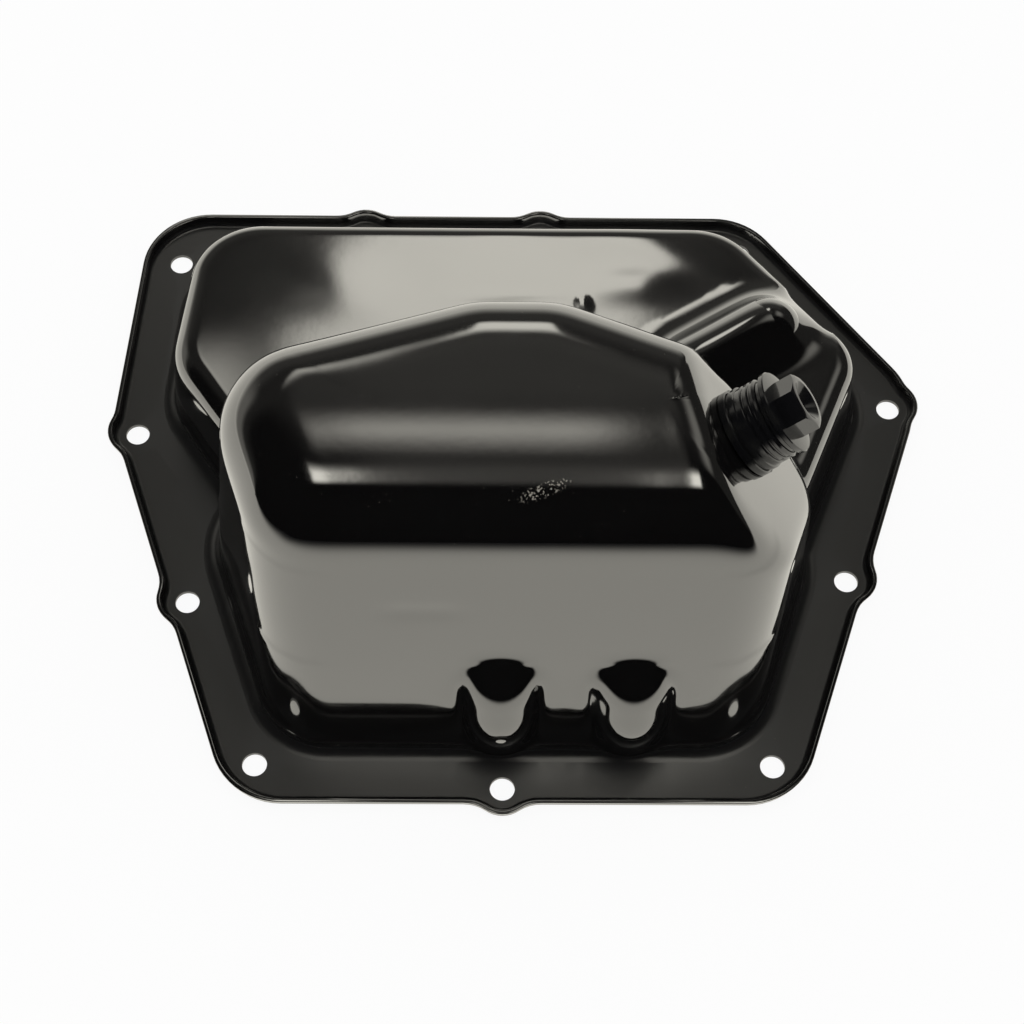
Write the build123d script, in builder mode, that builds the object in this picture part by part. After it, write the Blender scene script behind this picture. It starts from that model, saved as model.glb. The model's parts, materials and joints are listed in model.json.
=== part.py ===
"""Stamped engine oil pan with its drain boss, washer and plug.

The pan lies on its gasket face with the deep end up.  The origin is on the
gasket face, midway between the two front corner bolt holes; +X is to the right,
+Y to the shallow end, +Z from the gasket face to the floor of the deep end.
"""
from build123d import *
from math import cos, radians, sin, tan
import os

# ---------------------------------------------------------------- sheet metal
sheet = 1.4                  # gauge of the steel
foot_fillet = 6.0            # hollow radius where the walls leave the flange
flange_reach = 15.6          # width of the flange
rear_reach = 13.6            # and along the rear
lip_height = 5.2             # top of the turned-up edge above the gasket face
lip_flare = 12.0             # outward lean of that edge, degrees
lip_bend = 3.0               # outside radius where the edge turns up
flange_corner = 24.0         # plan radius of its edge's corners

# ---------------------------------------------------------------- bolt holes
bolt_hole_radius = 4.25
ear_radius = 9.6             # metal round each bolt hole
ear_blend = 14.0             # hollow beside each ear
front_pair_half = 88.4       # front corner holes, each side of the centre
front_mid_hole = (-4.0, -8.5)
left_low_hole = (-115.4, 61.8)
left_high_hole = (-138.4, 131.0)
left_rear_hole = (-127.7, 208.0)
right_low_hole = (119.1, 71.5)
right_high_hole = (140.3, 144.1)
right_rear_hole = (88.0, 215.0)
rear_hole_y = 221.6
rear_hole_left_x = -57.0
rear_hole_right_x = 11.0

# ------------------------------------------------------------ deep end (sump)
sump_height = 112.0
front_foot_y = 1.6           # where the front wall's fillet leaves the flange
side_foot_x = 92.5           # half width of the foot at side_foot_y
side_foot_y = 24.5
side_splay = 18.9            # side walls open towards the rear, degrees
rear_crown_y = 139.0         # foot of the rear wall in the middle
rear_crown_half = 17.0       # half width of that middle stretch
rear_left_turn = 17.0        # rear wall falls away on the left, degrees
rear_right_turn = 22.0       # and on the right
front_lean = 15.0            # draft of each wall, degrees from vertical
left_lean = 4.0
right_lean = 2.0
rear_lean = 5.0
front_corner = 24.0          # radii of the upright corners
rear_corner = 30.0
rear_soft_corner = 36.0
floor_roll = 21.0            # radius from the walls to the floor

# -------------------------------------------------------- shallow end (deck)
deck_rear_height = 31.0      # at the rear edge
deck_slope = 5.7             # it rises towards the deep end, degrees
deck_rear_y = 214.6          # foot of its rear wall
deck_left_x = -130.4         # foot of its left wall at the shoulder
deck_left_in = 4.5           # left wall leans in towards the rear, degrees
deck_shoulder_y = 139.0      # where the side walls turn in to the deep end
deck_left_turn = 33.0
deck_right_x = 131.5
deck_right_turn = 22.0
diagonal_point = (112.5, 176.5)
diagonal_turn = 53.0         # cut-off rear right corner, degrees from X
deck_lean = 5.0
deck_corner = 26.0
deck_right_corner = 20.0
deck_roll = 7.0
deck_top_height = 56.0       # height of the block that the roof is cut from

# ------------------------------------------------- swellings in the pressing
dome_radius = 14.5
dome_height = 32.0           # centre of a dome's round top
dome_left_x = -5.0
dome_right_x = 39.0
dome_foot_y = 17.5
dome_top_y = 20.5
tongue_radius = 14.0
tongue_near = (60.0, 135.0, 36.0)
tongue_far = (92.0, 156.0, 35.0)

# --------------------------------------------- drain facet, boss and plug
drain_x = 72.7               # middle of the boss's seat
drain_y = 78.7
drain_drop = 22.0            # below the floor of the deep end
drain_turn = 13.0                    # direction of its axis, degrees from +X
drain_rise = 36.0                    # and above the flange
facet_roll = 9.0
boss_radius = 15.0
boss_base_height = 5.6
boss_neck_radius = 13.9
boss_height = 13.0
boss_chamfer = 0.8
boss_spigot_radius = 10.0
boss_spigot_length = 3.4
spigot_clearance = 0.05
plug_radius = 7.0
plug_clearance = 0.05
washer_radius = 12.9
washer_thickness = 1.8
plug_flange_radius = 14.3
plug_flange_thickness = 2.6
plug_flats = 17.0
plug_hex_height = 7.2
plug_cup_radius = 6.0
plug_cup_depth = 2.6
plug_cup_taper = 40.0
plug_shank_length = 16.0
plug_tip_chamfer = 1.4
seat_clearance = 0.02

# how far the tools that form the hollow run below the gasket face
die_run = 5.0

# each wall: a foot point in plan, its direction in degrees, its lean; the metal
# is on the left of the direction, and the walls follow one another anticlockwise
sump_walls = [
    ((0, front_foot_y), 0, front_lean),
    ((side_foot_x, side_foot_y), 90 - side_splay, right_lean),
    ((rear_crown_half, rear_crown_y), 180 - rear_right_turn, rear_lean),
    ((0, rear_crown_y), 180, rear_lean),
    ((-rear_crown_half, rear_crown_y), 180 + rear_left_turn, rear_lean),
    ((-side_foot_x, side_foot_y), 270 + side_splay, left_lean),
]
sump_middle_y = (front_foot_y + rear_crown_y) / 2
deck_walls = [
    ((0, sump_middle_y), 0, deck_lean),
    ((deck_right_x, deck_shoulder_y), 90 - deck_right_turn, deck_lean),
    (diagonal_point, 180 - diagonal_turn, deck_lean),
    ((0, deck_rear_y), 180, deck_lean),
    ((deck_left_x, deck_shoulder_y), 270 - deck_left_in, deck_lean),
    ((deck_left_x, deck_shoulder_y), 270 + deck_left_turn, deck_lean),
]
flange_sides = [
    ((0, front_foot_y), 0, flange_reach),
    ((side_foot_x, side_foot_y), 90 - side_splay, flange_reach),
    ((deck_right_x, deck_shoulder_y), 90, flange_reach),
    (diagonal_point, 180 - diagonal_turn, rear_reach),
    ((0, deck_rear_y), 180, rear_reach),
    ((deck_left_x, deck_shoulder_y), 270 - deck_left_in, flange_reach),
    ((-side_foot_x, side_foot_y), 270 + side_splay, flange_reach),
]
bolt_holes = [
    (-front_pair_half, 0),
    front_mid_hole,
    (front_pair_half, 0),
    right_low_hole,
    right_high_hole,
    right_rear_hole,
    (rear_hole_right_x, rear_hole_y),
    (rear_hole_left_x, rear_hole_y),
    left_rear_hole,
    left_high_hole,
    left_low_hole,
]


def plan_line(point, angle, inward):
    """A line in plan through point at angle, moved inward (to its left)."""
    along = Vector(cos(radians(angle)), sin(radians(angle)))
    across = Vector(-along.Y, along.X)
    return Vector(*point) + across * inward, along


def crossing(line_a, line_b):
    """Point where two lines in plan cross."""
    (start_a, along_a), (start_b, along_b) = line_a, line_b
    gap = start_b - start_a
    run = gap.cross(along_b).Z / along_a.cross(along_b).Z
    return start_a + along_a * run


def ring(lines):
    """Corners of the closed outline that the lines make, in order."""
    return [crossing(lines[i - 1], lines[i]) for i in range(len(lines))]


def wall_inset(lean, z, skin):
    """How far a leaning wall stands in from the start of its foot fillet at height z.

    The skin is 0 for the outside of the metal and the sheet for its inside.
    """
    fillet_foot = foot_fillet * tan(radians(90 - lean) / 2)
    return fillet_foot + (z - sheet) * tan(radians(lean)) + skin / cos(radians(lean))


def steep_edges(part):
    """Edges that climb steeply, such as the upright corners."""
    return part.edges().filter_by(lambda edge: abs((edge @ 1 - edge @ 0).normalized().Z) > 0.8)


def steep_edges_behind(part, y):
    """Steep edges further to the rear than y."""
    return [edge for edge in steep_edges(part) if edge.center().Y > y]


def hollow_edges(part):
    """Edges where two faces meet in a hollow."""
    solid = part.solid()
    faces_of = {}
    for face in part.faces():
        for edge in face.edges():
            faces_of.setdefault(edge, []).append(face)
    found = []
    for edge, faces in faces_of.items():
        middle = edge @ 0.5
        normals = [face.normal_at(middle) for face in faces[:2]]
        if normals[0].dot(normals[1]) > 0.98:
            continue
        across = (normals[0] - normals[1]).normalized() * 0.3
        open_side = middle + (normals[0] + normals[1]).normalized() * 0.1
        buried = solid.is_inside(middle + across) or solid.is_inside(middle - across)
        if buried and not solid.is_inside(open_side):
            found.append(edge)
    return found


def frustum(walls, low, high, skin):
    """Solid between leaning walls, from height low to height high."""
    with BuildPart() as block:
        for z in (low, high):
            lines = [plan_line(foot, angle, wall_inset(lean, z, skin)) for foot, angle, lean in walls]
            with BuildSketch(Plane.XY.offset(z)):
                with BuildLine():
                    Polyline(*[(p.X, p.Y) for p in ring(lines)], close=True)
                make_face()
        loft(ruled=True)
    return block.part


def capsule(start, end, radius):
    """Round bar with domed ends."""
    along = Vector(*end) - Vector(*start)
    across = Plane(origin=start, z_dir=along).x_dir
    length = along.length
    half = radius * cos(radians(45))
    with BuildPart() as bar:
        with BuildSketch(Plane(origin=start, x_dir=along, z_dir=across)):
            with BuildLine():
                Line((-radius, 0), (length + radius, 0))
                ThreePointArc((-radius, 0), (-half, half), (0, radius))
                Line((0, radius), (length, radius))
                ThreePointArc((length, radius), (length + half, half), (length + radius, 0))
            make_face()
        revolve(axis=Axis(start, along))
    return bar.part


turn, rise = radians(drain_turn), radians(drain_rise)
drain_plane = Plane(
    origin=(drain_x, drain_y, sump_height - drain_drop),
    x_dir=(-sin(turn), cos(turn), 0),
    z_dir=(cos(rise) * cos(turn), cos(rise) * sin(turn), sin(rise)),
)
slope = radians(deck_slope)
deck_plane = Plane(
    origin=(0, deck_rear_y, deck_rear_height),
    x_dir=(1, 0, 0),
    z_dir=(0, sin(slope), cos(slope)),
)


def sump_form(low, skin):
    """The deep end as a solid, with its rolled floor and the drain facet."""
    with BuildPart() as form:
        add(frustum(sump_walls, low, sump_height - skin, skin))
        front = [edge for edge in steep_edges(form) if edge.center().Y < sump_middle_y]
        fillet(front, front_corner - skin)
        rear = steep_edges_behind(form, sump_middle_y)
        fillet([edge for edge in rear if abs(edge.center().X) < side_foot_x / 2], rear_soft_corner - skin)
        rear = steep_edges_behind(form, sump_middle_y)
        fillet([edge for edge in rear if abs(edge.center().X) > side_foot_x * 2 / 3], rear_corner - skin)
        fillet(form.faces().sort_by(Axis.Z)[-1].edges(), floor_roll - skin)
        facet = drain_plane.offset(-skin)
        split(bisect_by=facet, keep=Keep.BOTTOM)
        flat = form.faces().sort_by(lambda face: (face.normal_at() - facet.z_dir).length)[0]
        fillet(flat.edges(), facet_roll - skin)
    return form.part


def deck_form(low, skin):
    """The shallow end as a solid under its sloping roof."""
    with BuildPart() as form:
        add(frustum(deck_walls, low, deck_top_height, skin))
        split(bisect_by=deck_plane.offset(-skin), keep=Keep.BOTTOM)
        corners = steep_edges_behind(form, (sump_middle_y + deck_shoulder_y) / 2)
        fillet([edge for edge in corners if edge.center().X > side_foot_x], deck_right_corner - skin)
        corners = steep_edges_behind(form, (sump_middle_y + deck_shoulder_y) / 2)
        fillet([edge for edge in corners if edge.center().X < side_foot_x], deck_corner - skin)
        roof = form.faces().sort_by(lambda face: face.normal_at().Z)[-1]
        fillet(roof.edges(), deck_roll - skin)
    return form.part


def pressing(low, skin):
    """All that the press raises out of the flange, standing on a slab at the flange."""
    slab_lines = [plan_line(point, angle, -rear_reach / 2) for point, angle, _ in flange_sides]
    with BuildPart() as form:
        with BuildSketch(Plane.XY.offset(low)):
            with BuildLine():
                Polyline(*[(p.X, p.Y) for p in ring(slab_lines)], close=True)
            make_face()
        extrude(amount=sheet - skin - low)
        add(sump_form(low, skin))
        add(deck_form(low, skin))
        fillet(hollow_edges(form), foot_fillet + skin)
        for x in (dome_left_x, dome_right_x):
            add(capsule((x, dome_foot_y, 0), (x, dome_top_y, dome_height), dome_radius - skin))
        add(capsule(tongue_near, tongue_far, tongue_radius - skin))
        split(bisect_by=Plane.XY.offset(low), keep=Keep.TOP)
    return form.part


def flange_outline(height, inward):
    """The flange's edge as a face at the given height, ears included."""
    lines = [plan_line(point, angle, inward - reach) for point, angle, reach in flange_sides]
    with BuildSketch(Plane.XY.offset(height)) as outline:
        with BuildLine():
            FilletPolyline(*[(p.X, p.Y) for p in ring(lines)], radius=flange_corner, close=True)
        make_face()
        with Locations(*bolt_holes):
            Circle(ear_radius - inward)
        offset(amount=ear_blend, kind=Kind.ARC)
        offset(amount=-ear_blend, kind=Kind.ARC)
    return outline.sketch


os.makedirs("parts", exist_ok=True)

# ------------------------------------------------------------------ the pan
# the flange is a shallow tray whose edge turns up all round
with BuildPart() as tray:
    extrude(flange_outline(0, 0), amount=lip_height, taper=-lip_flare)
    fillet(tray.faces().sort_by(Axis.Z)[0].edges(), lip_bend)

with BuildPart() as tray_hollow:
    extrude(flange_outline(sheet, sheet), amount=lip_height, taper=-lip_flare)
    fillet(tray_hollow.faces().sort_by(Axis.Z)[0].edges(), lip_bend - sheet)

with BuildPart() as pan_shell:
    add(tray)
    add(tray_hollow, mode=Mode.SUBTRACT)
    add(pressing(0, 0))
    add(pressing(-die_run, sheet), mode=Mode.SUBTRACT)
    with Locations(*bolt_holes):
        Hole(bolt_hole_radius)
    with BuildSketch(drain_plane):
        Circle(boss_spigot_radius + spigot_clearance)
    extrude(amount=sheet, both=True, mode=Mode.SUBTRACT)

pan_shell.part.label = "pan_shell"
export_step(pan_shell.part, "parts/pan_shell.step")

# --------------------------------------------------------------- drain boss
# turned from bar: a spigot through the pan, a base, a neck and a plain bore
with BuildPart() as drain_boss:
    with BuildSketch(drain_plane.offset(-boss_spigot_length)):
        Circle(boss_spigot_radius)
    extrude(amount=boss_spigot_length + boss_height)
    with BuildSketch(drain_plane):
        Circle(boss_radius)
    extrude(amount=boss_base_height)
    with BuildSketch(drain_plane.offset(boss_base_height)):
        Circle(boss_neck_radius)
    extrude(amount=boss_height - boss_base_height)
    rims = drain_boss.edges().filter_by(GeomType.CIRCLE)
    chamfer(rims.sort_by(lambda edge: drain_plane.to_local_coords(edge.center()).Z)[-1], boss_chamfer)
    with BuildSketch(drain_plane.offset(boss_height)):
        Circle(plug_radius + plug_clearance)
    extrude(amount=-boss_height - boss_spigot_length, mode=Mode.SUBTRACT)

drain_boss.part.label = "drain_boss"
export_step(drain_boss.part, "parts/drain_boss.step")

# ------------------------------------------------------------- drain washer
washer_plane = drain_plane.offset(boss_height + seat_clearance)
with BuildPart() as drain_washer:
    with BuildSketch(washer_plane):
        Circle(washer_radius)
        Circle(plug_radius + plug_clearance, mode=Mode.SUBTRACT)
    extrude(amount=washer_thickness)

drain_washer.part.label = "drain_washer"
export_step(drain_washer.part, "parts/drain_washer.step")

# --------------------------------------------------------------- drain plug
plug_plane = washer_plane.offset(washer_thickness + seat_clearance)
with BuildPart() as drain_plug:
    with BuildSketch(plug_plane):
        Circle(plug_radius)
    extrude(amount=-plug_shank_length)
    tip = drain_plug.faces().sort_by(lambda face: drain_plane.to_local_coords(face.center()).Z)[0]
    chamfer(tip.edges(), plug_tip_chamfer)
    with BuildSketch(plug_plane):
        Circle(plug_flange_radius)
    extrude(amount=plug_flange_thickness)
    with BuildSketch(plug_plane.offset(plug_flange_thickness)):
        RegularPolygon(plug_flats / 2, 6, major_radius=False)
    extrude(amount=plug_hex_height)
    with BuildSketch(plug_plane.offset(plug_flange_thickness + plug_hex_height)):
        Circle(plug_cup_radius)
    extrude(amount=-plug_cup_depth, taper=plug_cup_taper, mode=Mode.SUBTRACT)

drain_plug.part.label = "drain_plug"
export_step(drain_plug.part, "parts/drain_plug.step")
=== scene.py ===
"""Looks of a pressed oil pan: fine skins, gloss paint, drain fitting, floor, light and camera."""

import json
import logging
import math
from dataclasses import dataclass, field
from enum import Enum

import bmesh
import bpy
from mathutils import Matrix, Vector
from mathutils.bvhtree import BVHTree


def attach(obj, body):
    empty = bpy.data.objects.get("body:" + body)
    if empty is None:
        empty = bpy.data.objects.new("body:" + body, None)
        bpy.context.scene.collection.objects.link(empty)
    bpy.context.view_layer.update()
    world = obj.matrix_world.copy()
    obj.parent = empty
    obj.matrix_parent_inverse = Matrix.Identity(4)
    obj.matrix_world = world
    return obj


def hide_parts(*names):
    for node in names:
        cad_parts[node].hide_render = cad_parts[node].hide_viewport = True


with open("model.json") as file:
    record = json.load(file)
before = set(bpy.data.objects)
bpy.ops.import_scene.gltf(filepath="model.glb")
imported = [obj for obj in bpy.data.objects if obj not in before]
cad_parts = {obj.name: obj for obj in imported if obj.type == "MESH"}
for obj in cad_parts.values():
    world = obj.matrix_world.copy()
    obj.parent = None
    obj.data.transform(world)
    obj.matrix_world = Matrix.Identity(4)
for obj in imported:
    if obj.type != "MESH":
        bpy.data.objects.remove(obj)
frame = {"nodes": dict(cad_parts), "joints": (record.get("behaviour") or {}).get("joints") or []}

LOG = logging.getLogger("oil_pan")
MM = 0.001
SAME_PLACE = 1e-6
UP = Vector((0, 0, 1))


# --------------------------------------------------------------------------
# helpers for meshes and node trees


def new_piece(name: str, mesh: bmesh.types.BMesh) -> bpy.types.Object:
    """Make a smooth-shaded object of a bmesh and free the bmesh.

    Args:
        name: Name of the object and of its mesh.
        mesh: The finished bmesh, in metres and in the frame's place.

    Returns:
        The new object, linked to the scene.
    """
    data = bpy.data.meshes.new(name)
    mesh.to_mesh(data)
    mesh.free()
    data.shade_smooth()
    piece = bpy.data.objects.new(name, data)
    bpy.context.scene.collection.objects.link(piece)
    return piece


def crease(mesh: bmesh.types.BMesh, angle: float = math.radians(32)) -> None:
    """Mark every edge that turns by more than an angle, so that it shades sharp.

    Args:
        mesh: The mesh to mark.
        angle: The largest turn that still shades smooth.
    """
    for edge in mesh.edges:
        edge.smooth = not edge.is_manifold or edge.calc_face_angle(0.0) < angle


def smoothstep(low: float, high: float, value: float) -> float:
    """Ease from 0 to 1 between two values.

    Args:
        low: Where the rise starts.
        high: Where it ends.
        value: The value to look up.

    Returns:
        A share from 0 to 1.
    """
    share = min(1.0, max(0.0, (value - low) / (high - low)))
    return share * share * (3 - 2 * share)


def drain_axis() -> Vector:
    """The drain's axis, out of the pan."""
    return Vector(frame["joints"][0]["axis"])


def drain_seat() -> Vector:
    """The middle of the drain hole, on the facet."""
    return Vector(frame["joints"][1]["pos_m"])


def seat_matrix(rise: float = 0.0) -> Matrix:
    """The drain seat's place and turn.

    Args:
        rise: How far to move out along the axis, in metres.

    Returns:
        The matrix that brings a mesh round +Z on to the seat.
    """
    axis = drain_axis().normalized()
    across = UP.cross(axis).normalized()
    turn = Matrix((across, axis.cross(across), axis)).transposed().to_4x4()
    return Matrix.Translation(drain_seat() + axis * rise) @ turn


def turned(profile: list[tuple[float, float]], segments: int, closed: bool = True) -> bmesh.types.BMesh:
    """Spin a profile round the Z axis.

    Args:
        profile: Radius and height of each point, in millimetres.
        segments: Number of steps round the axis.
        closed: Whether the last point joins the first.

    Returns:
        The turned body as a bmesh, in metres.
    """
    body = bmesh.new()
    verts = [body.verts.new((radius * MM, 0, height * MM)) for radius, height in profile]
    pairs = list(zip(verts, verts[1:] + verts[:1] if closed else verts[1:]))
    edges = [body.edges.new(pair) for pair in pairs]
    bmesh.ops.spin(body, geom=verts + edges, axis=(0, 0, 1), cent=(0, 0, 0), steps=segments,
                   angle=2 * math.pi, use_merge=True)
    bmesh.ops.remove_doubles(body, verts=body.verts, dist=SAME_PLACE)
    bmesh.ops.recalc_face_normals(body, faces=body.faces)
    return body


class Graph:
    """A short way to write a shader's node tree."""

    def __init__(self, tree: bpy.types.NodeTree) -> None:
        """Keep the tree that the nodes go into."""
        self.tree = tree

    def node(self, kind: str, inputs: dict | None = None, **settings) -> bpy.types.Node:
        """Add a node, set its properties, and fill or link its inputs.

        Args:
            kind: The node's type name without "ShaderNode".
            inputs: Input name or number to a value or an output socket.
            **settings: Properties of the node.

        Returns:
            The new node.
        """
        made = self.tree.nodes.new("ShaderNode" + kind)
        for key, value in settings.items():
            setattr(made, key, value)
        for key, value in (inputs or {}).items():
            if isinstance(value, bpy.types.NodeSocket):
                self.tree.links.new(value, made.inputs[key])
            else:
                made.inputs[key].default_value = value
        return made

    def ramp(self, value: bpy.types.NodeSocket, low: float, high: float) -> bpy.types.NodeSocket:
        """Ease a value between two levels, upwards or downwards.

        Args:
            value: The value to ease.
            low: The level that gives 0.
            high: The level that gives 1, which may be the smaller.

        Returns:
            The eased value's socket.
        """
        if low < high:
            inputs = {"Value": value, "From Min": low, "From Max": high}
        else:
            inputs = {"Value": value, "From Min": high, "From Max": low, "To Min": 1.0, "To Max": 0.0}
        return self.node("MapRange", inputs, interpolation_type="SMOOTHSTEP").outputs["Result"]

    def math(self, operation: str, a: float | bpy.types.NodeSocket, b: float | bpy.types.NodeSocket = 0.0,
             clamp: bool = False) -> bpy.types.NodeSocket:
        """Join two values with a Math node and return its output."""
        return self.node("Math", {0: a, 1: b}, operation=operation, use_clamp=clamp).outputs[0]

    def times(self, a: float | bpy.types.NodeSocket, b: float | bpy.types.NodeSocket) -> bpy.types.NodeSocket:
        """Multiply two values."""
        return self.math("MULTIPLY", a, b)

    def blend(self, share: bpy.types.NodeSocket, first: tuple, second: tuple) -> bpy.types.NodeSocket:
        """Mix two colours by a share and return the colour's socket."""
        mixed = self.node("MixRGB", {"Fac": share, "Color1": (*first, 1.0), "Color2": (*second, 1.0)})
        return mixed.outputs["Color"]


def new_material(name: str) -> tuple[bpy.types.Material, Graph, bpy.types.Node]:
    """Make an empty node material.

    Args:
        name: The material's name.

    Returns:
        The material, its graph and its output node.
    """
    material = bpy.data.materials.new(name)
    material.use_nodes = True
    graph = Graph(material.node_tree)
    graph.tree.nodes.clear()
    return material, graph, graph.node("OutputMaterial")


def join_mesh(whole: bmesh.types.BMesh, part: bmesh.types.BMesh) -> None:
    """Add one bmesh to another and free it.

    Args:
        whole: The mesh that grows.
        part: The mesh that goes into it.
    """
    data = bpy.data.meshes.new("part")
    part.to_mesh(data)
    part.free()
    whole.from_mesh(data)
    bpy.data.meshes.remove(data)


# --------------------------------------------------------------------------
# finishes


@dataclass(frozen=True)
class GlossPaint:
    """Wet-looking black paint over pressed steel, with a little dust and wear."""

    name: str = "gloss_black_paint"
    colour: tuple[float, float, float] = (0.0028, 0.0026, 0.0026)
    dust_colour: tuple[float, float, float] = (0.30, 0.28, 0.24)
    roughness: float = 0.09
    ior: float = 2.0
    coat_ior: float = 1.9
    flange_dullness: float = 0.22
    coat_roughness: float = 0.05
    coat_edge: tuple[float, float] = (2.4 * MM, 5.0 * MM)
    peel: float = 0.02
    peel_depth: float = 0.0005
    peel_scale: float = 260.0
    speck_scale: float = 900.0
    speck_size: float = 0.11
    speck_choice: tuple[float, float] = (0.86, 0.90)
    patch_scale: float = 38.0
    patch_edge: tuple[float, float] = (0.50, 0.62)
    haze_scale: float = 22.0
    scuff_place: tuple[float, float] = (8 * MM, 46.8 * MM)
    scuff_turn: float = math.radians(20)
    scuff_size: tuple[float, float] = (10 * MM, 2.6 * MM)
    scuff_grain: float = 1300.0
    scuff_edge: tuple[float, float] = (0.55, 0.62)

    def wear_group(self) -> bpy.types.NodeTree:
        """A node group that gives masks of dust specks and of haze.

        Returns:
            The group, with a Place input and Specks and Haze outputs.
        """
        tree = bpy.data.node_groups.new("paint_wear", "ShaderNodeTree")
        tree.interface.new_socket("Place", in_out="INPUT", socket_type="NodeSocketVector")
        tree.interface.new_socket("Specks", in_out="OUTPUT", socket_type="NodeSocketFloat")
        tree.interface.new_socket("Haze", in_out="OUTPUT", socket_type="NodeSocketFloat")
        g = Graph(tree)
        entry = tree.nodes.new("NodeGroupInput")
        leave = tree.nodes.new("NodeGroupOutput")
        place = entry.outputs["Place"]
        cells = g.node("TexVoronoi", {"Vector": place, "Scale": self.speck_scale})
        patches = g.node("TexNoise", {"Vector": place, "Scale": self.patch_scale, "Detail": 3.0})
        dot = g.ramp(cells.outputs["Distance"], self.speck_size, self.speck_size * 0.5)
        choice = g.node("SeparateColor", {0: cells.outputs["Color"]}).outputs[0]
        crowd = g.ramp(patches.outputs["Fac"], *self.patch_edge)
        specks = g.times(g.times(dot, g.ramp(choice, *self.speck_choice)), crowd)
        haze = g.node("TexNoise", {"Vector": place, "Scale": self.haze_scale, "Detail": 4.0,
                                   "Roughness": 0.6})
        tree.links.new(specks, leave.inputs["Specks"])
        tree.links.new(haze.outputs["Fac"], leave.inputs["Haze"])
        return tree

    def scuff(self, g: Graph, place: bpy.types.NodeSocket) -> bpy.types.NodeSocket:
        """A mask of one scraped mark on the floor's front edge.

        Args:
            g: The paint's graph.
            place: The place on the sheet.

        Returns:
            The mask's socket.
        """
        split = g.node("SeparateXYZ", {0: place})
        x = g.math("SUBTRACT", split.outputs[0], self.scuff_place[0])
        y = g.math("SUBTRACT", split.outputs[1], self.scuff_place[1])
        c, s = math.cos(self.scuff_turn), math.sin(self.scuff_turn)
        length, width = self.scuff_size
        along = g.times(g.math("ADD", g.times(x, c), g.times(y, s)), 1 / length)
        across = g.times(g.math("SUBTRACT", g.times(y, c), g.times(x, s)), 1 / width)
        span = g.math("ADD", g.times(along, along), g.times(across, across))
        scratch = g.node("TexNoise", {"Vector": place, "Scale": self.scuff_grain, "Detail": 3.0})
        return g.times(g.ramp(span, 1.0, 0.2), g.ramp(scratch.outputs["Fac"], *self.scuff_edge))

    def make(self) -> bpy.types.Material:
        """Build the material.

        Returns:
            The paint, glossy on the pressing and duller on the flange.
        """
        material, g, out = new_material(self.name)
        place = g.node("TexCoord").outputs["Object"]
        wear = g.tree.nodes.new("ShaderNodeGroup")
        wear.node_tree = self.wear_group()
        g.tree.links.new(place, wear.inputs["Place"])
        peel = g.node("TexNoise", {"Vector": place, "Scale": self.peel_scale, "Detail": 2.0})
        bump = g.node("Bump", {"Strength": self.peel, "Distance": self.peel_depth,
                               "Height": peel.outputs["Fac"]})
        marks = g.math("ADD", wear.outputs["Specks"], self.scuff(g, place), clamp=True)
        rough = g.node("MapRange", {"Value": wear.outputs["Haze"], "From Min": 0.3, "From Max": 0.7,
                                    "To Min": self.roughness * 0.8, "To Max": self.roughness * 1.25})
        raised = g.ramp(g.node("SeparateXYZ", {0: place}).outputs[2], *self.coat_edge)
        dull = g.times(g.math("SUBTRACT", 1.0, raised), self.flange_dullness)
        paint = g.node("BsdfPrincipled", {
            "Base Color": g.blend(marks, self.colour, self.dust_colour),
            "Roughness": g.math("ADD", rough.outputs["Result"], dull),
            "IOR": self.ior,
            "Coat Weight": raised,
            "Coat Roughness": self.coat_roughness,
            "Coat IOR": self.coat_ior,
            "Normal": bump.outputs["Normal"],
        })
        g.tree.links.new(paint.outputs["BSDF"], out.inputs["Surface"])
        return material


@dataclass(frozen=True)
class FittingPaint:
    """Thin black paint over the turned fitting, worn a little paler in patches."""

    name: str = "fitting_black"
    colour: tuple[float, float, float] = (0.004, 0.004, 0.0045)
    worn: tuple[float, float, float] = (0.010, 0.010, 0.009)
    roughness: float = 0.11
    ior: float = 1.75
    grain: float = 0.05
    grain_depth: float = 0.0003
    grain_scale: float = 700.0
    patch_scale: float = 90.0
    patch_edge: tuple[float, float] = (0.5, 0.75)

    def make(self) -> bpy.types.Material:
        """Build the material.

        Returns:
            The paint of the boss, the washer and the plug.
        """
        material, g, out = new_material(self.name)
        place = g.node("TexCoord").outputs["Object"]
        grain = g.node("TexNoise", {"Vector": place, "Scale": self.grain_scale, "Detail": 3.0})
        patches = g.node("TexNoise", {"Vector": place, "Scale": self.patch_scale, "Detail": 3.0})
        worn = g.ramp(patches.outputs["Fac"], *self.patch_edge)
        rough = g.node("MapRange", {"Value": patches.outputs["Fac"], "From Min": 0.3, "From Max": 0.7,
                                    "To Min": self.roughness * 0.75, "To Max": self.roughness * 1.4})
        bump = g.node("Bump", {"Strength": self.grain, "Distance": self.grain_depth,
                               "Height": grain.outputs["Fac"]})
        paint = g.node("BsdfPrincipled", {
            "Base Color": g.blend(worn, self.colour, self.worn),
            "Roughness": rough.outputs["Result"],
            "IOR": self.ior,
            "Normal": bump.outputs["Normal"],
        })
        g.tree.links.new(paint.outputs["BSDF"], out.inputs["Surface"])
        return material


# --------------------------------------------------------------------------
# the pressed pan


class Zone(Enum):
    """Parts of the pressing that a swell is kept to, by their lowest and highest place."""

    DECK = (14 * MM, 44 * MM)
    FRONT = (20 * MM, 95 * MM)
    FOOT = (2.2 * MM, 60 * MM)

    @property
    def upright(self) -> bool:
        """Whether the zone is on the front wall, where a swell is set by its height."""
        return self is not Zone.DECK


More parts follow.
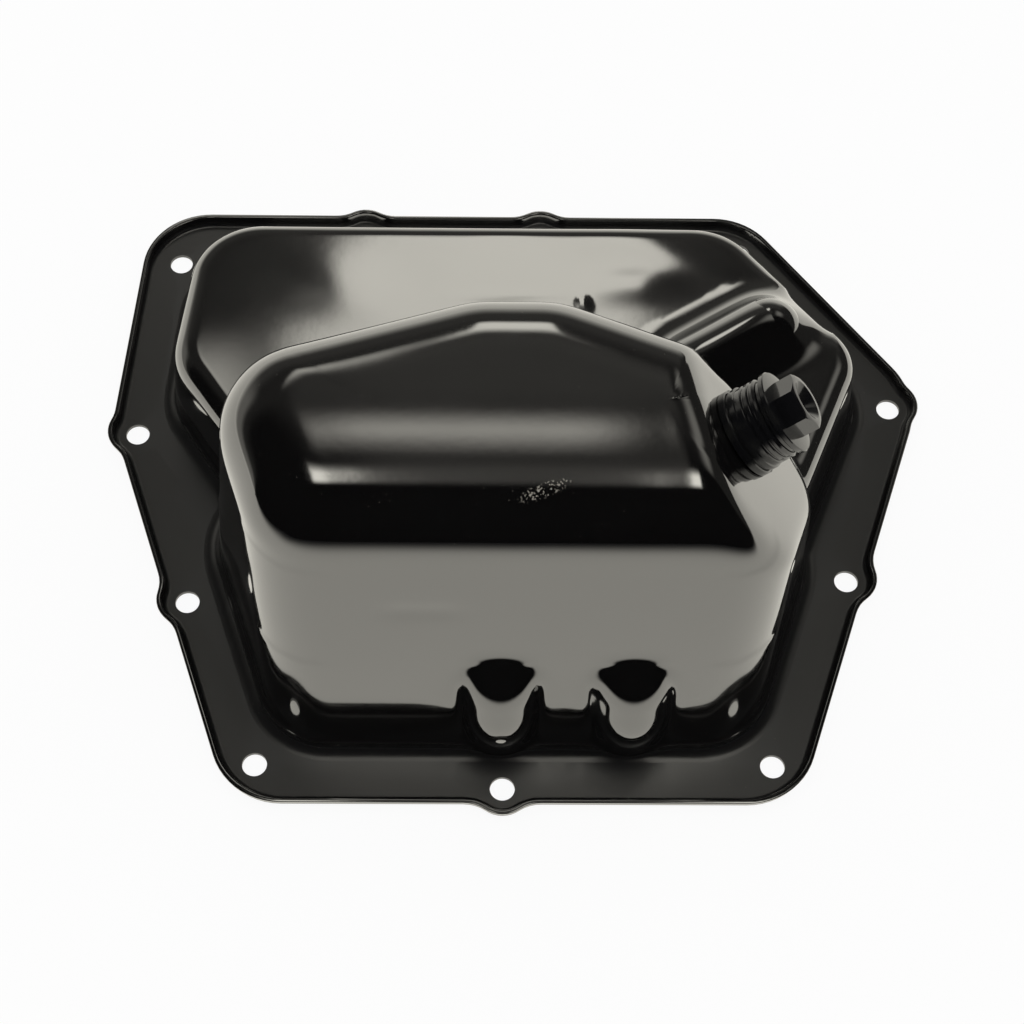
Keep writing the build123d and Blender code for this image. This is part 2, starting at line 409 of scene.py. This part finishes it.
@dataclass(frozen=True)
class Swell:
    """A soft rise or hollow in the sheet: place, half sizes and height in millimetres, turn in degrees."""

    x: float
    y: float
    along: float
    across: float
    height: float
    turn: float = 0.0
    zone: Zone = Zone.DECK
    z: float = 0.0
    wall_limit: float = 60.0

    def lift(self, place: Vector) -> float:
        """How far the sheet moves out at a place.

        Args:
            place: The place, in metres.

        Returns:
            The move, in metres.
        """
        low, high = self.zone.value
        x, y, z = place / MM
        if not low < place.z < high or (self.zone.upright and y > self.wall_limit):
            return 0.0
        dx, dy = x - self.x, y - self.y
        c, s = math.cos(math.radians(self.turn)), math.sin(math.radians(self.turn))
        u, v = (dx * c + dy * s) / self.along, (dy * c - dx * s) / self.across
        if self.zone.upright:
            v = (z - self.z) / self.across
        return self.height * MM * math.exp(-0.5 * (u * u + v * v))


@dataclass
class PressedPan:
    """The pan's sheet: the frame's own flange and inside, under a fine outer skin."""

    paint: GlossPaint = field(default_factory=GlossPaint)
    # the skin's grid, its lap over the flange and the spine that its columns run to
    columns: int = 480
    rows: int = 140
    step: float = 0.1 * MM
    lap: float = 0.35 * MM
    proud: float = 0.004 * MM
    spine_half: float = 50 * MM
    spine_y: float = 78 * MM
    above: float = 0.3
    merge: float = 0.02 * MM
    # how the outer faces are told from the flange and the inside
    steepest: float = 0.01
    level: float = 0.9999
    flange_top: float = 3 * MM
    # heights that part the flange's foot, the shallow end and the deep end's roll
    foot_top: float = 2.2 * MM
    deck_top: float = 44 * MM
    tongue_top: float = 62 * MM
    roll_foot: float = 88 * MM
    # round the drain's axis: the hole, how far it is filled and eased, and how near the facet that holds
    bore_cut: float = 10.4 * MM
    bore_fill: float = 1.03
    bore_edge: tuple[float, float] = (10.5 * MM, 13 * MM)
    drain_depth: float = 12 * MM
    drain_reach: float = 32 * MM
    # the flange's turned-up rim
    rim_height: float = 5.2 * MM
    rim_ease: float = 0.45 * MM
    rim_turn: float = math.radians(40)
    # how many times each part of the skin is relaxed
    smoothing: int = 4
    upper_smoothing: int = 14
    roll_smoothing: int = 34
    tongue_smoothing: int = 60
    drain_smoothing: int = 12
    # the floor's fall towards the front, and how far the inside sinks under the skin
    crown_start: float = 82 * MM
    crown_end: float = 36 * MM
    crown_radius: float = 330 * MM
    crown_rise: tuple[float, float] = (40 * MM, 104 * MM)
    sink: float = 1.1 * MM
    sink_rise: tuple[float, float] = (30 * MM, 80 * MM)
    # the tongue as circles: x, y and reach, in millimetres
    tongue_spots: tuple[tuple[float, float, float], ...] = ((62, 137, 24), (76, 146, 24), (90, 154, 26))
    swells: tuple[Swell, ...] = (
        # broad unevenness of the shallow end's roof
        Swell(-118, 142, 36, 28, 1.3, 10),
        Swell(-64, 176, 16, 10, 0.35, -30),
        Swell(47, 177, 13, 6, 0.55, 8),
        Swell(62, 190, 22, 6, 0.4, -25),
        # fine press marks on it
        Swell(-2, 197, 9, 2.2, -0.10),
        Swell(-2, 171, 12, 1.2, 0.10, 2),
        Swell(25, 167, 1.8, 3.0, 0.35, 10),
        # dents in the front wall
        Swell(-25, 29, 5, 2.6, -0.35, zone=Zone.FRONT, z=70),
        Swell(-37, 22, 5, 2.6, -0.35, zone=Zone.FRONT, z=70),
        # fuller domes at its foot
        Swell(-5, 20, 9.0, 8.5, 4.2, zone=Zone.FOOT, z=21),
        Swell(39, 20, 9.0, 8.5, 4.2, zone=Zone.FOOT, z=21),
    )

    def build(self) -> bpy.types.Object:
        """Make the whole sheet and let it stand for the frame's shell.

        Returns:
            The finished sheet.
        """
        shell = bmesh.new()
        shell.from_mesh(frame["nodes"]["pan_shell"].data)
        bmesh.ops.remove_doubles(shell, verts=shell.verts, dist=SAME_PLACE)
        pressed = self.pressed_faces(shell)
        loop = self.foot_loop(pressed)
        tree = self.height_tree(pressed)
        bmesh.ops.delete(shell, geom=pressed, context="FACES")
        self.sink_inside(shell)
        self.ease_rim(shell)
        crease(shell)
        join_mesh(shell, self.skin(loop, tree))
        piece = new_piece("pressed_sheet", shell)
        piece.data.materials.append(self.paint.make())
        smooth = piece.modifiers.new("edges", "WEIGHTED_NORMAL")
        smooth.keep_sharp = True
        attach(piece, "pan")
        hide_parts("pan_shell")
        return piece

    def ease_rim(self, shell: bmesh.types.BMesh) -> None:
        """Round the two long edges of the flange's turned-up rim.

        Args:
            shell: The frame's own shell.
        """
        edges = []
        for edge in shell.edges:
            if edge.is_manifold and all(abs(vert.co.z - self.rim_height) < self.merge for vert in edge.verts):
                if edge.calc_face_angle(0.0) > self.rim_turn:
                    edges.append(edge)
        bmesh.ops.bevel(shell, geom=edges, offset=self.rim_ease, offset_type="OFFSET", segments=3,
                        profile=0.5, affect="EDGES", material=-1, clamp_overlap=True)

    def pressed_faces(self, shell: bmesh.types.BMesh) -> list[bmesh.types.BMFace]:
        """Find the outer faces that the press raises out of the flange.

        Args:
            shell: The frame's own shell.

        Returns:
            The faces, from the top of the pan out to the foot line.
        """
        upper = {face for face in shell.faces if face.normal.z > self.steepest}
        flat = {face for face in upper
                if face.normal.z > self.level and face.calc_center_median().z < self.flange_top}
        rest = upper - flat
        start = max(rest, key=lambda face: face.calc_center_median().z)
        found = {start}
        queue = [start]
        while queue:
            for edge in queue.pop().edges:
                for other in edge.link_faces:
                    if other in rest and other not in found:
                        found.add(other)
                        queue.append(other)
        return list(found)

    def foot_loop(self, pressed: list[bmesh.types.BMFace]) -> list[Vector]:
        """Points in order round the line where the pressing leaves the flange.

        Args:
            pressed: The outer faces of the pressing.

        Returns:
            The points, from the rightmost one and through the front.
        """
        inside = set(pressed)
        rim = [
            edge for edge in {edge for face in pressed for edge in face.edges}
            if sum(face in inside for face in edge.link_faces) == 1
            and max(vert.co.z for vert in edge.verts) < self.flange_top
        ]
        links: dict = {}
        for edge in rim:
            for vert in edge.verts:
                links.setdefault(vert, []).append(edge.other_vert(vert))
        start = max(links, key=lambda vert: vert.co.x)
        loop = [start]
        before, here = start, links[start][0]
        if links[start][1].co.y > here.co.y:
            here = links[start][1]
        while here is not start:
            loop.append(here)
            onward = [vert for vert in links[here] if vert is not before]
            before, here = here, onward[0]
        return [vert.co.copy() for vert in loop]

    def height_tree(self, pressed: list[bmesh.types.BMFace]) -> BVHTree:
        """A search tree of the outer pressing.

        Args:
            pressed: The outer faces of the pressing.

        Returns:
            The tree, which stays when the faces are deleted.
        """
        copy = bmesh.new()
        known: dict = {}
        for face in pressed:
            corners = []
            for vert in face.verts:
                if vert not in known:
                    known[vert] = copy.verts.new(vert.co)
                corners.append(known[vert])
            copy.faces.new(corners)
        tree = BVHTree.FromBMesh(copy)
        copy.free()
        return tree

    def off_axis(self, place: Vector) -> float:
        """How far a place is from the drain's axis.

        Args:
            place: The place, in metres.

        Returns:
            The distance, or 1 when the place isn't near the facet.
        """
        axis = drain_axis()
        arm = place - drain_seat()
        rise = arm.dot(axis)
        return (arm - axis * rise).length if abs(rise) < self.drain_depth else 1.0

    def skin(self, loop: list[Vector], tree: BVHTree) -> bmesh.types.BMesh:
        """Lay a fine grid over the pressing, from the foot line to a spine on the floor.

        Args:
            loop: The foot line's points in order.
            tree: The search tree of the pressing.

        Returns:
            The eased skin, with the drain hole open.
        """
        left = min(range(len(loop)), key=lambda i: loop[i].x)
        halves = (loop[:left + 1], loop[left:] + loop[:1])
        half = self.columns // 2
        feet = [*spaced(halves[0], half)[:-1], *spaced(halves[1], half)]
        grid = bmesh.new()
        bmesh.ops.create_grid(grid, x_segments=self.columns, y_segments=self.rows, size=1.0)
        columns: list = [[None] * (self.rows + 1) for _ in range(self.columns + 1)]
        for vert in grid.verts:
            i = round((vert.co.x + 1) / 2 * self.columns)
            j = round((vert.co.y + 1) / 2 * self.rows)
            columns[i][j] = vert
        for i, column in enumerate(columns):
            turn = 2 * math.pi * i / self.columns
            end = Vector((self.spine_half * math.cos(turn), self.spine_y, 0))
            for vert, place in zip(column, self.climb(feet[i], end, tree)):
                vert.co = place
        bmesh.ops.remove_doubles(grid, verts=grid.verts, dist=self.merge)
        self.soften(grid)
        self.shape(grid)
        self.open_bore(grid)
        bmesh.ops.recalc_face_normals(grid, faces=grid.faces)
        top = max(grid.faces, key=lambda face: face.calc_center_median().z)
        if top.normal.z < 0:
            bmesh.ops.reverse_faces(grid, faces=grid.faces)
        return grid

    def sink_inside(self, shell: bmesh.types.BMesh) -> None:
        """Let the inside follow the eased skin, so that it stays under it.

        Args:
            shell: The frame's own shell without its outer pressing.
        """
        shell.normal_update()
        moves = []
        for vert in shell.verts:
            clear = smoothstep(*self.bore_edge, self.off_axis(vert.co))
            under = self.sink * smoothstep(*self.sink_rise, vert.co.z)
            moves.append((vert.normal * under - UP * self.fall(vert.co)) * clear)
        for vert, move in zip(shell.verts, moves):
            vert.co += move

    def fall(self, place: Vector) -> float:
        """How far the pan's floor drops at a place, as it is crowned towards the front.

        Args:
            place: The place, in metres.

        Returns:
            The drop, in metres.
        """
        ahead = min(max(0.0, self.crown_start - place.y), self.crown_start - self.crown_end)
        return ahead * ahead / (2 * self.crown_radius) * smoothstep(*self.crown_rise, place.z)

    def soften(self, grid: bmesh.types.BMesh) -> None:
        """Ease the skin, most of all on the front roll and where the tongue meets the wall.

        Args:
            grid: The skin.
        """
        inner = [vert for vert in grid.verts if vert.co.z > self.foot_top]
        upper = [vert for vert in inner if vert.co.z > self.deck_top]
        roll = [vert for vert in inner if vert.co.z > self.roll_foot]
        tongue = [vert for vert in inner if self.on_tongue(vert.co)]
        drain = [vert for vert in upper if self.off_axis(vert.co) < self.drain_reach]
        self.relax(grid, inner, self.smoothing)
        self.relax(grid, upper, self.upper_smoothing)
        self.relax_full(grid, roll, self.roll_smoothing)
        self.relax(grid, tongue, self.tongue_smoothing)
        self.relax(grid, drain, self.drain_smoothing)

    @staticmethod
    def relax(grid: bmesh.types.BMesh, verts: list[bmesh.types.BMVert], passes: int) -> None:
        """Draw vertices towards their neighbours.

        Args:
            grid: The mesh.
            verts: The vertices to move.
            passes: How many times to move them.
        """
        for _ in range(passes):
            bmesh.ops.smooth_vert(grid, verts=verts, factor=0.5, use_axis_x=True, use_axis_y=True,
                                  use_axis_z=True)

    def relax_full(self, grid: bmesh.types.BMesh, verts: list[bmesh.types.BMVert], passes: int) -> None:
        """Relax vertices and give the even part of what they lost back, so that the form stays full.

        Args:
            grid: The mesh.
            verts: The vertices to move.
            passes: How many times to move them.
        """
        before = [vert.co.copy() for vert in verts]
        self.relax(grid, verts, passes)
        still = {vert: vert.co.copy() for vert in grid.verts}
        for vert in grid.verts:
            vert.co = (0, 0, 0)
        for vert, old in zip(verts, before):
            vert.co = old - still[vert]
        self.relax(grid, verts, passes)
        for vert, place in still.items():
            vert.co = place + vert.co

    def on_tongue(self, place: Vector) -> bool:
        """Whether a place is on or beside the tongue on the shallow end's roof.

        Args:
            place: The place, in metres.

        Returns:
            True where the skin is eased most.
        """
        x, y = place.x / MM, place.y / MM
        near = any(math.hypot(x - a, y - b) < reach for a, b, reach in self.tongue_spots)
        return near and place.z < self.tongue_top

    def shape(self, grid: bmesh.types.BMesh) -> None:
        """Let the floor fall away towards the front, and press the swells into the sheet.

        Args:
            grid: The skin.
        """
        grid.normal_update()
        moves = []
        for vert in grid.verts:
            out = vert.normal if vert.normal.z > 0 else -vert.normal
            lift = sum(swell.lift(vert.co) for swell in self.swells)
            moves.append(out * lift - UP * self.fall(vert.co))
        for vert, move in zip(grid.verts, moves):
            vert.co += move

    def climb(self, foot: Vector, end: Vector, tree: BVHTree) -> list[Vector]:
        """Points evenly spaced over the pressing, from its foot to the spine.

        Args:
            foot: The point on the foot line.
            end: The point of the spine, in plan.
            tree: The search tree of the pressing.

        Returns:
            One point for each row of the grid.
        """
        run = Vector((end.x - foot.x, end.y - foot.y, 0))
        length = run.length
        run.normalize()
        start = Vector((foot.x, foot.y, 0)) - run * self.lap
        floor = foot.z + self.proud
        count = int((length + self.lap) / self.step)
        track = [Vector((start.x, start.y, floor))]
        for k in range(1, count + 1):
            place = start + run * ((length + self.lap) * k / count)
            track.append(Vector((place.x, place.y, max(self.top(place, tree), floor))))
        return spaced(track, self.rows)

    def top(self, place: Vector, tree: BVHTree) -> float:
        """Height of the pressing, with the drain hole closed by the facet's plane.

        Args:
            place: The place in plan.
            tree: The search tree of the pressing.

        Returns:
            The height, in metres, or 0 off the pressing.
        """
        axis, seat = drain_axis(), drain_seat()
        flat = seat.z - (axis.x * (place.x - seat.x) + axis.y * (place.y - seat.y)) / axis.z
        if self.off_axis(Vector((place.x, place.y, flat))) < self.bore_fill * self.bore_cut:
            return flat
        hit = tree.ray_cast(Vector((place.x, place.y, self.above)), -UP)[0]
        return hit.z if hit else 0.0

    def open_bore(self, grid: bmesh.types.BMesh) -> None:
        """Take away the skin over the drain hole, under the boss."""
        gone = [vert for vert in grid.verts if self.off_axis(vert.co) < self.bore_cut]
        bmesh.ops.delete(grid, geom=gone, context="VERTS")


def spaced(track: list[Vector], count: int) -> list[Vector]:
    """Points at even distances along a track.

    Args:
        track: The track's own points.
        count: How many equal steps to take.

    Returns:
        count + 1 points from the track's start to its end.
    """
    lengths = [0.0]
    for a, b in zip(track, track[1:]):
        lengths.append(lengths[-1] + (b - a).length)
    points = []
    k = 0
    for n in range(count + 1):
        want = lengths[-1] * n / count
        while k < len(track) - 2 and lengths[k + 1] < want:
            k += 1
        span = lengths[k + 1] - lengths[k]
        share = min(1.0, (want - lengths[k]) / span) if span > 0 else 0.0
        points.append(track[k].lerp(track[k + 1], share))
    return points


# --------------------------------------------------------------------------
# the drain fitting


@dataclass
class DrainFitting:
    """Turned boss, sealing washer and flanged hexagon plug on the drain facet, in millimetres."""

    paint: bpy.types.Material
    segments: int = 128
    edge: float = 0.35
    seat_gap: float = 0.02
    # boss
    bore: float = 7.05
    spigot: float = 10.0
    spigot_depth: float = 3.4
    base: float = 15.0
    base_top: float = 2.8
    body: float = 14.5
    body_top: float = 5.5
    neck: float = 13.9
    neck_foot: float = 5.75
    waist: float = 8.0
    collar: float = 10.4
    boss_top: float = 13.0
    boss_chamfer: float = 0.8
    mouth_chamfer: float = 0.6
    groove: float = 0.6
    groove_slope: float = 0.1
    # washer
    washer: float = 12.9
    washer_thick: float = 1.8
    # plug's flange and hexagon
    flange: float = 14.3
    flange_thick: float = 2.6
    flange_rim: float = 0.62
    flange_hub: float = 9.9
    flats: float = 17.0
    hex_top: float = 9.8
    hex_sunk: float = 0.4
    hex_cuts: int = 11
    crown_inset: float = 0.15
    crown_slope: float = math.radians(30)
    cup: float = 6.4
    cup_lip: float = 0.5
    cup_floor: float = 3.8
    cup_depth: float = 2.6
    cup_middle: float = 0.4
    # plug's threaded shank
    shank: float = 7.0
    shank_length: float = 16.0
    pitch: float = 1.5
    thread_depth: float = 0.85
    flank_slope: float = 2.4
    flank_crest: float = 0.1
    thread_around: int = 72
    thread_rows: int = 8
    relief_length: float = 1.6
    relief_depth: float = 0.9
    tip_chamfer: float = 1.4

    def dress(self, name: str, node: str, body: str, mesh: bmesh.types.BMesh,
              rise: float = 0.0) -> bpy.types.Object:
        """Put a piece on the drain seat and let it stand for its node.

        Args:
            name: The piece's name.
            node: The frame's node that it stands for.
            body: The body that it rides on.
            mesh: The piece's mesh round the Z axis.
            rise: Its place along the seat's axis, in metres.

        Returns:
            The finished piece.
        """
        bmesh.ops.transform(mesh, matrix=seat_matrix(rise), verts=mesh.verts)
        crease(mesh)
        piece = new_piece(name, mesh)
        piece.data.materials.append(self.paint)
        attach(piece, body)
        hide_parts(node)
        return piece

    def ring_groove(self, radius: float, height: float) -> list[tuple[float, float]]:
        """The two ends of a groove's floor in the boss's profile.

        Args:
            radius: The radius beside the groove.
            height: Where the groove starts.

        Returns:
            The lower and the upper point.
        """
        low, high = radius - self.groove, height + self.groove
        return [(low, height + self.groove_slope), (low, high)]

    def make_boss(self) -> bpy.types.Object:
        """Turn the boss: spigot, base ring, grooved body and a chamfered mouth.

        Returns:
            The finished boss.
        """
        e, g, top, mouth = self.edge, self.groove, self.boss_top, self.mouth_chamfer
        gap, shoulder = self.seat_gap, self.base_top + g
        profile = [
            (self.bore, -self.spigot_depth), (self.spigot, -self.spigot_depth), (self.spigot, gap),
            (self.base - e, gap), (self.base, e), (self.base, self.base_top - e),
            (self.base - e, self.base_top), *self.ring_groove(self.body, self.base_top),
            (self.body - e, shoulder + self.groove_slope), (self.body, shoulder + e),
            (self.body, self.body_top), (self.neck, self.neck_foot),
        ]
        for height in (self.waist, self.collar):
            profile += [
                (self.neck, height - e), (self.neck - e, height), *self.ring_groove(self.neck, height),
                (self.neck - e, height + g), (self.neck, height + g + e),
            ]
        profile += [
            (self.neck, top - self.boss_chamfer), (self.neck - self.boss_chamfer, top),
            (self.bore + mouth, top), (self.bore, top - mouth),
        ]
        return self.dress("grooved_boss", "drain_boss", "pan", turned(profile, self.segments))

    def make_washer(self) -> bpy.types.Object:
        """Turn the sealing washer with eased rims.

        Returns:
            The finished washer.
        """
        e, low = self.edge, self.boss_top + self.seat_gap
        top = low + self.washer_thick
        profile = [
            (self.bore, low), (self.washer - e, low), (self.washer, low + e), (self.washer, top - e),
            (self.washer - e, top), (self.bore, top),
        ]
        return self.dress("sealing_washer", "drain_washer", "washer",
                          turned(profile, self.segments))

    def make_plug(self) -> bpy.types.Object:
        """Join the threaded shank, the flange and the hexagon of the plug.

        Returns:
            The finished plug.
        """
        seat = self.boss_top + self.washer_thick + 2 * self.seat_gap
        whole = self.shank_mesh()
        join_mesh(whole, self.flange_mesh())
        join_mesh(whole, self.hexagon_mesh())
        return self.dress("hexagon_plug", "drain_plug", "plug", whole, seat * MM)

    def shank_radius(self, down: float, turn: float) -> float:
        """Radius of the shank with its thread, its relief under the flange and its chamfered tip.

        Args:
            down: How far below the flange, in millimetres.
            turn: The angle round the axis.

        Returns:
            The radius, in millimetres.
        """
        phase = (down / self.pitch + turn / (2 * math.pi)) % 1.0
        flank = min(1.0, max(0.0, self.flank_slope * abs(phase - 0.5) - self.flank_crest))
        radius = self.shank - self.thread_depth * flank
        if down < self.relief_length:
            radius = self.shank - self.relief_depth
        return min(radius, self.shank - self.tip_chamfer + (self.shank_length - down))

    def shank_mesh(self) -> bmesh.types.BMesh:
        """The plug's shank with its rolled thread, from the flange down to a chamfered tip.

        Returns:
            The shank round the Z axis.
        """
        rows = int(self.shank_length / self.pitch * self.thread_rows)
        shank = bmesh.new()
        bmesh.ops.create_grid(shank, x_segments=self.thread_around, y_segments=rows, size=1.0)
        for vert in shank.verts:
            turn = (vert.co.x + 1) * math.pi
            down = (vert.co.y + 1) / 2 * self.shank_length
            radius = self.shank_radius(down, turn)
            vert.co = Vector((radius * math.cos(turn), radius * math.sin(turn), -down)) * MM
        bmesh.ops.remove_doubles(shank, verts=shank.verts, dist=SAME_PLACE)
        bmesh.ops.holes_fill(shank, edges=[edge for edge in shank.edges if edge.is_boundary])
        bmesh.ops.recalc_face_normals(shank, faces=shank.faces)
        return shank

    def flange_mesh(self) -> bmesh.types.BMesh:
        """The plug's round flange, thinner at its rim.

        Returns:
            The flange round the Z axis.
        """
        e, r, t = self.edge, self.flange, self.flange_thick
        rim = t * self.flange_rim
        profile = [(0.0, self.seat_gap / 2), (r - e, self.seat_gap / 2), (r, e), (r, rim), (r - e, rim + e),
                   (self.flange_hub, t), (0.0, t)]
        return turned(profile, self.segments, closed=False)

    def hexagon_mesh(self) -> bmesh.types.BMesh:
        """The plug's hexagon with its chamfered crown and dished end.

        Returns:
            The hexagon round the Z axis.
        """
        corner = self.flats / 2 / math.cos(math.pi / 6)
        crown = self.flats / 2 - self.crown_inset
        head = bmesh.new()
        bmesh.ops.create_circle(head, segments=6, radius=corner * MM, cap_ends=False)
        bmesh.ops.subdivide_edges(head, edges=head.edges[:], cuts=self.hex_cuts)
        bmesh.ops.translate(head, verts=head.verts, vec=UP * (self.flange_thick - self.hex_sunk) * MM)
        made = bmesh.ops.extrude_edge_only(head, edges=head.edges[:])["geom"]
        for vert in (item for item in made if isinstance(item, bmesh.types.BMVert)):
            past = max(0.0, math.hypot(vert.co.x, vert.co.y) / MM - crown)
            vert.co.z = (self.hex_top - past * math.tan(self.crown_slope)) * MM
        cup_bottom = self.hex_top - self.cup_depth
        rings = ((crown, self.hex_top), (self.cup + self.cup_lip, self.hex_top),
                 (self.cup, self.hex_top - self.edge), (self.cup_floor, cup_bottom),
                 (self.cup_middle, cup_bottom))
        for radius, height in rings:
            edges = [item for item in made if isinstance(item, bmesh.types.BMEdge)]
            made = bmesh.ops.extrude_edge_only(head, edges=edges)["geom"]
            for vert in (item for item in made if isinstance(item, bmesh.types.BMVert)):
                turn = math.atan2(vert.co.y, vert.co.x)
                vert.co = Vector((radius * math.cos(turn), radius * math.sin(turn), height)) * MM
        bmesh.ops.holes_fill(head, edges=[edge for edge in head.edges if edge.is_boundary])
        bmesh.ops.recalc_face_normals(head, faces=head.faces)
        return head

    def build(self) -> list[bpy.types.Object]:
        """Make the three pieces."""
        return [self.make_boss(), self.make_washer(), self.make_plug()]


# --------------------------------------------------------------------------
# studio


@dataclass(frozen=True)
class Panel:
    """A soft-edged bright patch of the room, by its rise from the rear and its way sideways."""

    name: str
    level: float
    rise: tuple[float, float, float]
    side: tuple[float, float, float]

    def shine(self, g: Graph, rise: bpy.types.NodeSocket, side: bpy.types.NodeSocket) -> bpy.types.NodeSocket:
        """Add the nodes for the patch and return its brightness.

        Args:
            g: The world's graph.
            rise: The direction's angle up from the rear, in degrees.
            side: Its share to the right.

        Returns:
            The socket that holds the brightness.
        """
        shade = None
        for value, (low, high, soft) in ((rise, self.rise), (side, self.side)):
            edge = g.times(g.ramp(value, low - soft, low + soft), g.ramp(value, high + soft, high - soft))
            shade = edge if shade is None else g.times(shade, edge)
        lit = g.node("Math", {0: shade, 1: self.level}, operation="MULTIPLY", label=self.name)
        return lit.outputs[0]


@dataclass
class Studio:
    """White floor, soft lights overhead and behind, and the camera."""

    eye: tuple[float, float, float] = (-0.01366, -0.29257, 0.70106)
    heading: float = math.radians(1.94)
    pitch: float = math.radians(60.74)
    roll: float = math.radians(2.04)
    lens: float = 77.63
    sensor: float = 36.0
    floor_half: float = 6.0
    floor_colour: tuple[float, float, float] = (0.8, 0.8, 0.8)
    floor_in_gloss: tuple[float, float, float] = (0.02, 0.02, 0.02)
    floor_glow: float = 0.92
    fade_start: float = -0.12
    fade_length: float = 0.24
    white: tuple[float, float, float] = (1.0, 1.0, 1.0)
    glow: tuple[float, float, float] = (1.0, 0.97, 0.87)
    panels: tuple[Panel, ...] = (
        Panel("window behind", 2.3, (36.5, 48, 3.5), (-0.05, 0.078, 0.014)),
        Panel("window on the left", 1.2, (45.5, 53, 3.5), (-0.17, -0.07, 0.03)),
        Panel("strip overhead", 1.25, (62.3, 65.5, 2.0), (-0.07, 0.065, 0.02)),
        Panel("below the strip", 0.15, (68, 91, 7), (-0.055, 0.10, 0.02)),
        Panel("lamp on the left", 3.2, (74, 90, 5), (-0.115, -0.060, 0.014)),
        Panel("lamp on the right", 3.2, (75, 93, 5), (0.100, 0.21, 0.025)),
        Panel("dim wall", 0.05, (-20, 36, 10), (-0.66, 0.5, 0.1)),
        Panel("left wall", 0.30, (-10, 46, 10), (-2.0, -0.66, 0.14)),
        Panel("right wall", 0.45, (45, 62, 6), (0.34, 0.60, 0.10)),
        Panel("pale sweep", 0.9, (-90, 6, 14), (-2.0, 0.45, 0.15)),
        Panel("dim room", 0.035, (-90, 64, 6), (-2.0, 2.0, 0.2)),
        Panel("dim ceiling", 0.09, (50, 60, 6), (-0.08, 0.16, 0.05)),
    )

    def camera(self) -> None:
        """Place the camera at the viewing angle."""
        ahead = Vector((math.sin(self.heading) * math.cos(self.pitch),
                        math.cos(self.heading) * math.cos(self.pitch), -math.sin(self.pitch)))
        right = Vector((math.cos(self.heading), -math.sin(self.heading), 0))
        up = right.cross(ahead)
        x_axis = right * math.cos(self.roll) + up * math.sin(self.roll)
        y_axis = up * math.cos(self.roll) - right * math.sin(self.roll)
        data = bpy.data.cameras.new("camera")
        data.lens = self.lens
        data.sensor_width = self.sensor
        camera = bpy.data.objects.new("camera", data)
        bpy.context.scene.collection.objects.link(camera)
        turn = Matrix((x_axis, y_axis, -ahead)).transposed().to_4x4()
        camera.matrix_world = Matrix.Translation(self.eye) @ turn
        bpy.context.scene.camera = camera

    def floor(self) -> None:
        """Lay the pale floor, whose brightness falls off towards the front in reflections."""
        mesh = bmesh.new()
        bmesh.ops.create_grid(mesh, x_segments=1, y_segments=1, size=self.floor_half)
        floor = new_piece("floor", mesh)
        material, g, out = new_material("white_floor")
        path = g.node("LightPath")
        glossy = path.outputs["Is Glossy Ray"]
        y = g.node("SeparateXYZ", {0: g.node("TexCoord").outputs["Object"]}).outputs[1]
        far = g.times(g.math("SUBTRACT", self.fade_start, y), 1 / self.fade_length)
        far = g.math("MAXIMUM", far, 0.0)
        near = g.math("DIVIDE", 1.0, g.math("ADD", g.times(far, far), 1.0))
        seen = g.math("ADD", path.outputs["Is Camera Ray"], g.times(glossy, near), clamp=True)
        matt = g.node("BsdfDiffuse", {"Color": g.blend(glossy, self.floor_colour, self.floor_in_gloss)})
        glow = g.node("Emission", {"Color": g.blend(glossy, self.white, self.glow), "Strength": 1.0})
        mix = g.node("MixShader", {0: g.times(seen, self.floor_glow), 1: matt.outputs[0], 2: glow.outputs[0]})
        g.tree.links.new(mix.outputs[0], out.inputs["Surface"])
        floor.data.materials.append(material)

    def world(self) -> None:
        """Light from the room: plain all round for matt things, panels in the dark for gloss."""
        world = bpy.data.worlds.new("room")
        bpy.context.scene.world = world
        world.use_nodes = True
        g = Graph(world.node_tree)
        g.tree.nodes.clear()
        out = g.node("OutputWorld")
        x, y, z = g.node("SeparateXYZ", {0: g.node("TexCoord").outputs["Generated"]}).outputs
        rise = g.math("DEGREES", g.math("ARCTAN2", z, y))
        level = 0.0
        for panel in self.panels:
            level = g.math("ADD", panel.shine(g, rise, x), level)
        glossy = g.node("LightPath").outputs["Is Glossy Ray"]
        strength = g.math("ADD", g.times(glossy, level), g.math("SUBTRACT", 1.0, glossy))
        light = g.node("Background", {"Color": g.blend(glossy, self.white, self.glow), "Strength": strength})
        g.tree.links.new(light.outputs[0], out.inputs["Surface"])

    def build(self) -> None:
        """Set up the whole studio."""
        scene = bpy.context.scene
        scene.view_settings.view_transform = "Standard"
        self.camera()
        self.floor()
        self.world()


def main() -> None:
    """Build every piece and the studio."""
    logging.basicConfig(level=logging.INFO)
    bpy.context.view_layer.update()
    sheet = PressedPan().build()
    pieces = [sheet, *DrainFitting(FittingPaint().make()).build()]
    for piece in pieces:
        LOG.info("%s has %d faces", piece.name, len(piece.data.polygons))
    Studio().build()


if __name__ == "__main__":
    main()
